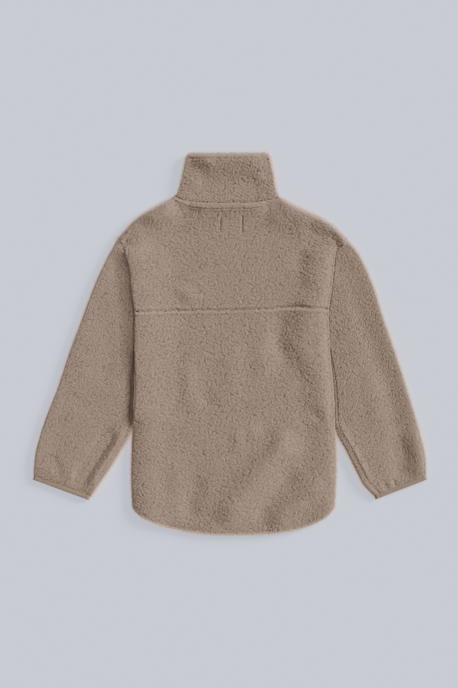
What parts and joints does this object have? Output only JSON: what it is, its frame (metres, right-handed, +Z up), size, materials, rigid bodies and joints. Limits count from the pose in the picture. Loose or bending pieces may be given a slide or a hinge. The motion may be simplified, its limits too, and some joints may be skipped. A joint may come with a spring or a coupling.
{
  "type": "fleece jacket",
  "caption": "Longline pile-fleece jacket laid flat on its front with its back up: tall collar, back yoke, shirt-tail hem, taped cuffs and a front zip.",
  "frame": {"origin": "on the surface the jacket lies on, under the middle of its outline", "axes": "+Z up, +Y along the back towards the collar, +X to the right as seen from above, which is the wearer's right side"},
  "size_m": [0.8739, 0.8427, 0.0189],
  "materials": {
    "pile_fleece": "brushed pile",
    "cuff_tape": "smooth knit tape",
    "zip_tape": "woven tape",
    "zip_metal": "satin"
  },
  "bodies": {
    "root": {"back_lower": "pile_fleece", "back_yoke": "pile_fleece", "front_left": "pile_fleece", "front_right": "pile_fleece", "collar": "pile_fleece", "sleeve_left": "pile_fleece", "sleeve_right": "pile_fleece", "cuff_tape_left": "cuff_tape", "cuff_tape_right": "cuff_tape", "zip": "zip_tape", "zip_slider": "zip_metal", "zip_pull": "zip_tape"}
  },
  "joints": []
}
